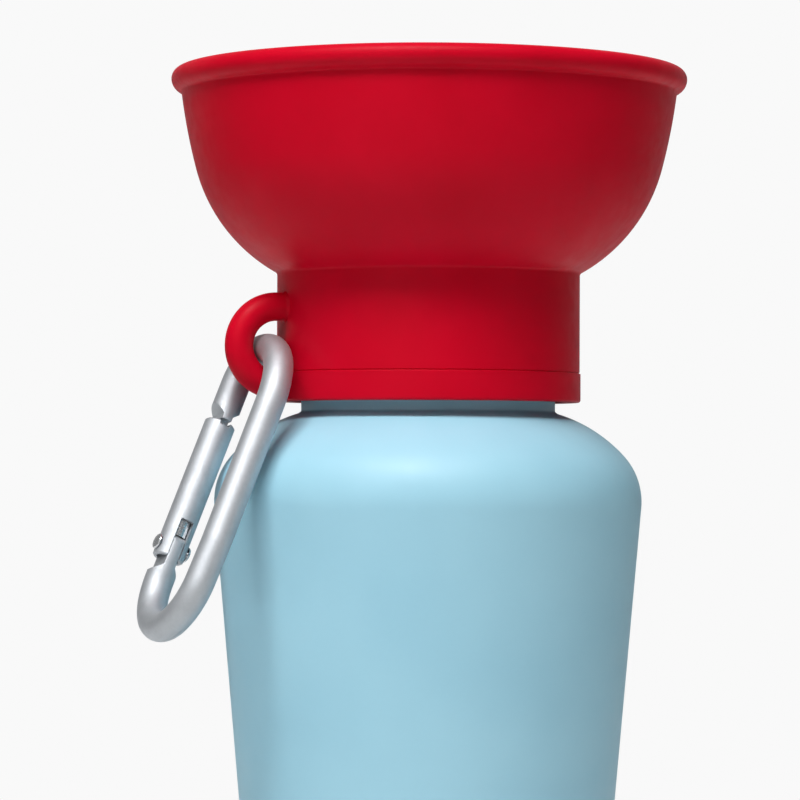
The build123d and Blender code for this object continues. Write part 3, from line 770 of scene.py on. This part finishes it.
def make_hook():
    """Bent rod with its nose tongue and hinge tongue cut flat."""
    body = rod("carabiner_rod", hook_path(), ROD)
    reach = ROD + CUT_MARGIN
    cheek = ROD + CHEEK_MARGIN
    flank = ROD + FLANK_MARGIN
    cutters = []
    for side in (-1, 1):
        nose = [
            (side * NOSE_TONGUE_HALF, NOSE_CUT_LOW), (side * NOSE_TONGUE_HALF, NOSE_TONGUE_FOOT),
            (side * cheek, NOSE_CHEEK_TOP), (side * reach, NOSE_CHEEK_TOP), (side * reach, NOSE_CUT_LOW),
        ]
        cutters.append(prism("cut_nose", nose, -reach, reach, ACROSS))
        hinge = [
            (side * HINGE_TONGUE_HALF, HINGE_CUT_TOP), (side * HINGE_TONGUE_HALF, HINGE_TONGUE_FOOT),
            (side * cheek, HINGE_CHEEK_FOOT), (side * reach, HINGE_CHEEK_FOOT),
            (side * reach, HINGE_CUT_TOP),
        ]
        cutters.append(prism("cut_hinge", hinge, -reach, reach, ACROSS))
        brow = [(side * BROW_HALF, HINGE_CUT_TOP), (side * BROW_HALF, HINGE_END)]
        for index in range(1, BROW_STEPS + 1):
            turn = pi / 2 * index / BROW_STEPS
            brow.append((side * (BROW_HALF + (flank - BROW_HALF) * sin(turn)), HINGE_END * cos(turn)))
        brow += [(side * reach, 0.0), (side * reach, HINGE_CUT_TOP)]
        cutters.append(prism("cut_brow", brow, -reach, reach))
    cutters.append(block("cut_flat", (-2 * ROD, NOSE_FLAT_X), (NOSE_CUT_LOW, NOSE_FLAT_TOP), (-reach, reach)))
    cut(body, cutters)
    break_edges(body, ROD_BEVEL)
    finish_edges(body)
    place_in_model(body)
    return body


def level_ring(radius, y):
    """Ring of points round the gate's line."""
    angles = [2 * pi * index / GATE_SIDES for index in range(GATE_SIDES)]
    return [(radius * cos(angle), y, radius * sin(angle)) for angle in angles]


def make_gate():
    """Slotted tube that closes the hook."""
    profile = [
        (-GATE_TAIL, GATE_RADIUS - GATE_CHAMFER), (-GATE_TAIL + GATE_CHAMFER, GATE_RADIUS),
        (GATE_LENGTH - GATE_CHAMFER, GATE_RADIUS), (GATE_LENGTH, GATE_RADIUS - GATE_CHAMFER),
    ]
    gate = skin("gate_sleeve", [level_ring(radius, y) for y, radius in profile])
    below = -GATE_TAIL - CUT_BEYOND
    beyond = GATE_LENGTH + CUT_BEYOND
    wide = 2 * GATE_RADIUS
    bore = skin("cut_bore", [level_ring(GATE_BORE, y) for y in (below, GATE_LENGTH - GATE_END_WALL)])
    turns = [2 * pi * index / PIN_HOLE_SIDES for index in range(PIN_HOLE_SIDES)]
    hole = skin("cut_pin", [
        [(PIN_HOLE * cos(turn), PIN_HOLE * sin(turn), z) for turn in turns]
        for z in (-PIN_HOLE_REACH, PIN_HOLE_REACH)
    ])
    hinge_slot = (-HINGE_SLOT_HALF, HINGE_SLOT_HALF)
    nose_slot = (-NOSE_SLOT_HALF, NOSE_SLOT_HALF)
    cutters = [
        bore, hole,
        block("cut_slot", (-wide, CUT_OVERLAP), (below, HINGE_SLOT_INNER_TOP), hinge_slot),
        block("cut_slot", (0, wide), (below - CUT_APART, HINGE_SLOT_OUTER_TOP), hinge_slot),
        block("cut_slot", (NOSE_SLOT_X, wide), (GATE_LENGTH - NOSE_SLOT_DEPTH, beyond), nose_slot),
        block("cut_slot", (-wide, 0), (GATE_LENGTH - NOSE_NOTCH_DEPTH, beyond + CUT_APART), nose_slot),
    ]
    cut(gate, cutters)
    break_edges(gate, GATE_BEVEL)
    finish_edges(gate)
    place_in_model(gate)
    return gate


def make_pin():
    """Rivet with two domed heads."""
    half = GATE_RADIUS + RIVET_SEAT
    dome = [(0.0, half + RIVET_RIM + RIVET_DOME)]
    for index in range(1, RIVET_STEPS + 1):
        turn = pi / 2 * index / RIVET_STEPS
        dome.append((RIVET_HEAD * sin(turn), half + RIVET_RIM + RIVET_DOME * cos(turn)))
    dome += [(RIVET_HEAD, half), (RIVET_SHANK, half)]
    outline = dome + [(radius, -z) for radius, z in reversed(dome)]
    pin = lathe("hinge_rivet", outline, RIVET_SEGMENTS)
    finish_edges(pin)
    place_in_model(pin)
    return pin


# =====================================================================================
# materials
# =====================================================================================

def srgb(red, green, blue):
    """Linear colour from 0-255 sRGB values."""
    linear = []
    for value in (red, green, blue):
        share = value / 255
        linear.append(share / 12.92 if share <= 0.04045 else ((share + 0.055) / 1.055) ** 2.4)
    return (*linear, 1.0)


NOISE_LOW = 0.35  # the range of a noise texture that is spread over a material's own range
NOISE_HIGH = 0.65


class Surface:
    """A material on a Principled shader, with helpers for its procedural detail."""

    def __init__(self, name, **values):
        self.material = bpy.data.materials.new(name)
        self.material.use_nodes = True
        self.tree = self.material.node_tree
        self.shader = self.tree.nodes["Principled BSDF"]
        for key, value in values.items():
            self.shader.inputs[key.replace("_", " ")].default_value = value

    def node(self, kind, **values):
        """New node, with its properties and input values set by name."""
        made = self.tree.nodes.new(kind)
        for key, value in values.items():
            if key in made.bl_rna.properties:
                setattr(made, key, value)
            else:
                made.inputs[key.replace("_", " ")].default_value = value
        return made

    def link(self, start, end):
        self.tree.links.new(start, end)

    def noise(self, size_mm, detail=3.0, roughness=0.55, stretch=(1, 1, 1)):
        """Noise whose features are about so many millimetres across."""
        place = self.node("ShaderNodeTexCoord")
        mapping = self.node("ShaderNodeMapping")
        mapping.inputs["Scale"].default_value = stretch
        self.link(place.outputs["Object"], mapping.inputs["Vector"])
        scale = 1.0 / (size_mm * MM)
        noise = self.node("ShaderNodeTexNoise", Scale=scale, Detail=detail, Roughness=roughness)
        self.link(mapping.outputs["Vector"], noise.inputs["Vector"])
        return noise.outputs["Fac"]

    def ramp(self, source, low, high):
        """Maps a noise texture to a range of values."""
        mapped = self.node("ShaderNodeMapRange")
        mapped.inputs["From Min"].default_value = NOISE_LOW
        mapped.inputs["From Max"].default_value = NOISE_HIGH
        mapped.inputs["To Min"].default_value = low
        mapped.inputs["To Max"].default_value = high
        self.link(source, mapped.inputs["Value"])
        return mapped.outputs["Result"]

    def tint(self, source, first, second):
        """Colour that wanders between two tints with a texture."""
        mix = self.node("ShaderNodeMix", data_type="RGBA")
        # of this node's sockets, inputs 6 and 7 and output 2 are the colours
        mix.inputs[6].default_value = first
        mix.inputs[7].default_value = second
        self.link(source, mix.inputs[0])
        self.link(mix.outputs[2], self.shader.inputs["Base Color"])

    def roughen(self, source, low, high):
        """Roughness that wanders between two values with a texture."""
        self.link(self.ramp(source, low, high), self.shader.inputs["Roughness"])

    def bump(self, layers):
        """Fine relief: (texture, depth in millimetres) layers, one on the other."""
        normal = None
        for source, depth in layers:
            bump = self.node("ShaderNodeBump", Strength=1.0, Distance=depth * MM)
            self.link(source, bump.inputs["Height"])
            if normal is not None:
                self.link(normal, bump.inputs["Normal"])
            normal = bump.outputs["Normal"]
        self.link(normal, self.shader.inputs["Normal"])


def red_plastic():
    made = Surface("bowl_red", Specular_IOR_Level=0.08)
    broad = made.noise(26, 2.0)
    fine = made.noise(0.35, 2.0, 0.6)
    made.tint(made.ramp(broad, 0.0, 1.0), srgb(196, 2, 32), srgb(203, 4, 36))
    made.roughen(made.noise(3.0), 0.40, 0.48)
    made.bump([(made.noise(9.0, 2.0), 0.02), (fine, 0.004)])
    return made.material


def blue_plastic():
    made = Surface("bottle_blue", Specular_IOR_Level=0.5)
    broad = made.noise(34, 2.0)
    made.tint(made.ramp(broad, 0.0, 1.0), srgb(156, 207, 226), srgb(162, 212, 230))
    made.roughen(made.noise(4.0), 0.46, 0.54)
    made.bump([(made.noise(14.0, 2.0), 0.03), (made.noise(0.5, 2.0, 0.6), 0.004)])
    return made.material


def satin_aluminium():
    made = Surface("anodised_aluminium", Metallic=1.0)
    made.tint(made.ramp(made.noise(5.0), 0.0, 1.0), srgb(190, 194, 198), srgb(197, 201, 205))
    made.roughen(made.noise(0.8), 0.58, 0.66)
    made.bump([(made.noise(0.22, 2.0, 0.7), 0.006)])
    return made.material


def bright_steel():
    made = Surface("steel", Metallic=1.0)
    made.tint(made.ramp(made.noise(2.0), 0.0, 1.0), srgb(205, 207, 210), srgb(216, 218, 220))
    made.roughen(made.noise(0.6, stretch=(1, 1, 6)), 0.18, 0.3)
    made.bump([(made.noise(0.15, 2.0, 0.7), 0.002)])
    return made.material


def silicone():
    made = Surface("silicone", Subsurface_Weight=0.25, Subsurface_Scale=0.002, Roughness=0.55)
    made.tint(made.ramp(made.noise(3.0), 0.0, 1.0), srgb(226, 228, 226), srgb(236, 237, 235))
    made.bump([(made.noise(0.5, 2.0), 0.006)])
    return made.material


def natural_plastic():
    made = Surface("natural_plastic", Subsurface_Weight=0.2, Subsurface_Scale=0.002, Roughness=0.42)
    made.tint(made.ramp(made.noise(8.0), 0.0, 1.0), srgb(228, 231, 228), srgb(238, 240, 238))
    made.bump([(made.noise(1.2, 2.0), 0.008)])
    return made.material


materials = {
    "bowl_red": red_plastic(),
    "bottle_blue": blue_plastic(),
    "anodised_aluminium": satin_aluminium(),
    "steel": bright_steel(),
    "silicone": silicone(),
    "natural_plastic": natural_plastic(),
}


def dress(obj, slot, body=None, stands_for=None):
    """Material, body and CAD node of a piece."""
    obj.data.materials.clear()
    obj.data.materials.append(materials[slot])
    if body is not None:
        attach(obj, body)
    if stands_for is not None:
        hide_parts(stands_for)


# =====================================================================================
# studio
# =====================================================================================

CAMERA_AZIMUTH = radians(-20.0)  # the loop is turned this much towards the camera
WHITE = 0.947  # linear value of the photograph's pale surround
FILL_FRONT = 0.08  # soft light that reaches the object from the camera's side
FILL_BEHIND = 0.06  # and from the backdrop's side
MIRRORED_FRONT = 0.30  # what glossy surfaces mirror from the camera's side
MIRRORED_BEHIND = 0.40  # and from the backdrop's side
BACKDROP_START = 0.5  # cosine of the angle off the backdrop's middle where its side begins
BACKDROP_FULL = 1.0  # and where it is reached in full
FLOOR_RADIUS = 0.6
FLOOR_SIDES = 96
FLOOR_GREY = 0.82
FADE_START = 0.07  # the floor fades to white between these distances from the axis
FADE_END = 0.26
LIGHT_TARGET = Vector((0, 0, 0.14))  # every light points here, about level with the shoulder's top


def make_world():
    """White surround for the camera, and a dimmer one that lights and is mirrored."""
    world = bpy.data.worlds.new("studio")
    bpy.context.scene.world = world
    world.use_nodes = True
    tree = world.node_tree
    tree.nodes.clear()
    out = tree.nodes.new("ShaderNodeOutputWorld")
    path = tree.nodes.new("ShaderNodeLightPath")
    # how far a direction points to the backdrop: -1 at the camera's side, 1 behind the object
    place = tree.nodes.new("ShaderNodeTexCoord")
    towards = tree.nodes.new("ShaderNodeVectorMath")
    towards.operation = "DOT_PRODUCT"
    tree.links.new(place.outputs["Generated"], towards.inputs[0])
    towards.inputs[1].default_value = (-sin(CAMERA_AZIMUTH), cos(CAMERA_AZIMUTH), 0)
    levels = []
    for front, behind in ((FILL_FRONT, FILL_BEHIND), (MIRRORED_FRONT, MIRRORED_BEHIND)):
        level = tree.nodes.new("ShaderNodeMapRange")
        level.interpolation_type = "SMOOTHSTEP"
        level.inputs["From Min"].default_value = BACKDROP_START
        level.inputs["From Max"].default_value = BACKDROP_FULL
        level.inputs["To Min"].default_value = front
        level.inputs["To Max"].default_value = behind
        tree.links.new(towards.outputs["Value"], level.inputs["Value"])
        shader = tree.nodes.new("ShaderNodeBackground")
        tree.links.new(level.outputs["Result"], shader.inputs["Strength"])
        levels.append(shader)
    white = tree.nodes.new("ShaderNodeBackground")
    white.inputs["Color"].default_value = (1, 1, 1, 1)
    white.inputs["Strength"].default_value = WHITE
    for shader in levels:
        shader.inputs["Color"].default_value = (1, 1, 1, 1)
    mirrored = tree.nodes.new("ShaderNodeMixShader")
    tree.links.new(path.outputs["Is Glossy Ray"], mirrored.inputs[0])
    tree.links.new(levels[0].outputs[0], mirrored.inputs[1])
    tree.links.new(levels[1].outputs[0], mirrored.inputs[2])
    seen = tree.nodes.new("ShaderNodeMath")
    seen.operation = "MAXIMUM"
    tree.links.new(path.outputs["Is Camera Ray"], seen.inputs[0])
    tree.links.new(path.outputs["Is Transmission Ray"], seen.inputs[1])
    mix = tree.nodes.new("ShaderNodeMixShader")
    tree.links.new(seen.outputs[0], mix.inputs[0])
    tree.links.new(mirrored.outputs[0], mix.inputs[1])
    tree.links.new(white.outputs[0], mix.inputs[2])
    tree.links.new(mix.outputs[0], out.inputs[0])


def make_floor():
    """Pale floor that keeps the shadow near the object and fades to white round it."""
    bpy.ops.mesh.primitive_circle_add(vertices=FLOOR_SIDES, radius=FLOOR_RADIUS, fill_type="NGON")
    floor = bpy.context.object
    floor.name = "floor"
    material = bpy.data.materials.new("floor")
    material.use_nodes = True
    tree = material.node_tree
    tree.nodes.clear()
    out = tree.nodes.new("ShaderNodeOutputMaterial")
    matt = tree.nodes.new("ShaderNodeBsdfDiffuse")
    matt.inputs["Color"].default_value = (FLOOR_GREY, FLOOR_GREY, FLOOR_GREY, 1)
    white = tree.nodes.new("ShaderNodeEmission")
    white.inputs["Strength"].default_value = WHITE
    place = tree.nodes.new("ShaderNodeTexCoord")
    length = tree.nodes.new("ShaderNodeVectorMath")
    length.operation = "LENGTH"
    tree.links.new(place.outputs["Object"], length.inputs[0])
    fade = tree.nodes.new("ShaderNodeMapRange")
    fade.interpolation_type = "SMOOTHSTEP"
    fade.inputs["From Min"].default_value = FADE_START
    fade.inputs["From Max"].default_value = FADE_END
    tree.links.new(length.outputs["Value"], fade.inputs["Value"])
    path = tree.nodes.new("ShaderNodeLightPath")
    seen = tree.nodes.new("ShaderNodeMath")
    seen.operation = "MAXIMUM"
    tree.links.new(path.outputs["Is Camera Ray"], seen.inputs[0])
    tree.links.new(path.outputs["Is Glossy Ray"], seen.inputs[1])
    share = tree.nodes.new("ShaderNodeMath")
    share.operation = "MULTIPLY"
    tree.links.new(seen.outputs[0], share.inputs[0])
    tree.links.new(fade.outputs["Result"], share.inputs[1])
    mix = tree.nodes.new("ShaderNodeMixShader")
    tree.links.new(share.outputs[0], mix.inputs[0])
    tree.links.new(matt.outputs[0], mix.inputs[1])
    tree.links.new(white.outputs[0], mix.inputs[2])
    tree.links.new(mix.outputs[0], out.inputs[0])
    floor.data.materials.append(material)


def area_light(name, place, size, power):
    """Soft rectangular lamp at a place, in metres and watts."""
    data = bpy.data.lights.new(name, "AREA")
    data.shape = "RECTANGLE"
    data.size, data.size_y = size
    data.energy = power
    lamp = bpy.data.objects.new(name, data)
    bpy.context.scene.collection.objects.link(lamp)
    lamp.location = place
    lamp.rotation_mode = "QUATERNION"
    lamp.rotation_quaternion = (LIGHT_TARGET - place).to_track_quat("-Z", "Y")
    return lamp


# Camera: level with a point high on the bottle, the loop turned a little towards it.
CAMERA_DISTANCE = 0.775
CAMERA_HEIGHT = 0.1303
FRAME_PIXELS = 800
SENSOR_WIDTH = 36.0
FOCAL_PIXELS = 3642.0  # focal length in pixels of that frame
AXIS_OFFSET = 28.1  # pixels that the object's axis lies right of the frame's middle
HORIZON_OFFSET = 62.0  # pixels that the camera's level lies below the frame's middle
CAMERA_ROLL = radians(0.2)  # the bottle leans this much to the right in the frame


def make_camera():
    """Camera at the photograph's place, turned so that the object lies where it does there."""
    data = bpy.data.cameras.new("camera")
    data.sensor_fit = "HORIZONTAL"
    data.sensor_width = SENSOR_WIDTH
    data.lens = SENSOR_WIDTH * FOCAL_PIXELS / FRAME_PIXELS
    data.clip_start, data.clip_end = 0.02, 20
    camera = bpy.data.objects.new("camera", data)
    bpy.context.scene.collection.objects.link(camera)
    back = Vector((sin(CAMERA_AZIMUTH), -cos(CAMERA_AZIMUTH), 0))
    right = Vector((cos(CAMERA_AZIMUTH), sin(CAMERA_AZIMUTH), 0))
    camera.location = back * CAMERA_DISTANCE + Vector((0, 0, CAMERA_HEIGHT))
    aim = -back - right * (AXIS_OFFSET / FOCAL_PIXELS) + Vector((0, 0, HORIZON_OFFSET / FOCAL_PIXELS))
    camera.rotation_mode = "QUATERNION"
    roll = Quaternion((0, 0, 1), CAMERA_ROLL)
    camera.rotation_quaternion = aim.to_track_quat("-Z", "Y") @ roll
    bpy.context.scene.camera = camera


def seen_from(degrees_right, height, distance):
    """Place so many degrees right of the camera's side of the object, in metres."""
    angle = CAMERA_AZIMUTH + radians(degrees_right)
    return Vector((sin(angle) * distance, -cos(angle) * distance, height))


make_camera()
make_world()
make_floor()
area_light("key", seen_from(-16, height=0.92, distance=0.50), size=(0.6, 0.22), power=9.2)
area_light("front", seen_from(-26, height=0.66, distance=1.1), size=(1.0, 0.9), power=2.3)
area_light("side", seen_from(62, height=0.50, distance=1.0), size=(0.5, 0.6), power=0.35)
back = area_light("back", seen_from(180, height=0.62, distance=1.0), size=(0.9, 0.8), power=5.0)
back.visible_camera = False
back.visible_glossy = False

# ---- the object ----
dress(make_bottle(), "bottle_blue", "bottle", "bottle")
dress(
    thread("neck_thread", NECK_RADIUS, 1, THREAD_START_Z, NECK_THREAD_TURNS, 0.0),
    "bottle_blue", "bottle",
)
dress(make_bowl(), "bowl_red", "top", "bowl_top")
# the collar's ridge lies half a pitch under the neck's
collar_thread_z = THREAD_START_Z + PITCH * (COLLAR_THREAD_ANGLE / (2 * pi) - 0.5)
dress(
    thread("collar_thread", COLLAR_BORE, -1, collar_thread_z, COLLAR_THREAD_TURNS, COLLAR_THREAD_ANGLE),
    "bowl_red", "top",
)
dress(make_loop(), "bowl_red", "top")
dress(make_hook(), "anodised_aluminium", "carabiner", "carabiner_body")
dress(make_pin(), "steel", "carabiner", "gate_pin")
dress(make_gate(), "anodised_aluminium", "gate", "gate_tube")

slot_of = {part["node"]: part["material_slot"] for part in frame["record"]["subparts"]}
kept_nodes = (
    "neck_gasket", "valve_insert", "port_plug", "dip_tube", "wiper_seal", "gate_plunger", "gate_spring",
)
for node in kept_nodes:
    dress(frame["nodes"][node], slot_of[node])

scene = bpy.context.scene
scene.view_settings.view_transform = "Standard"
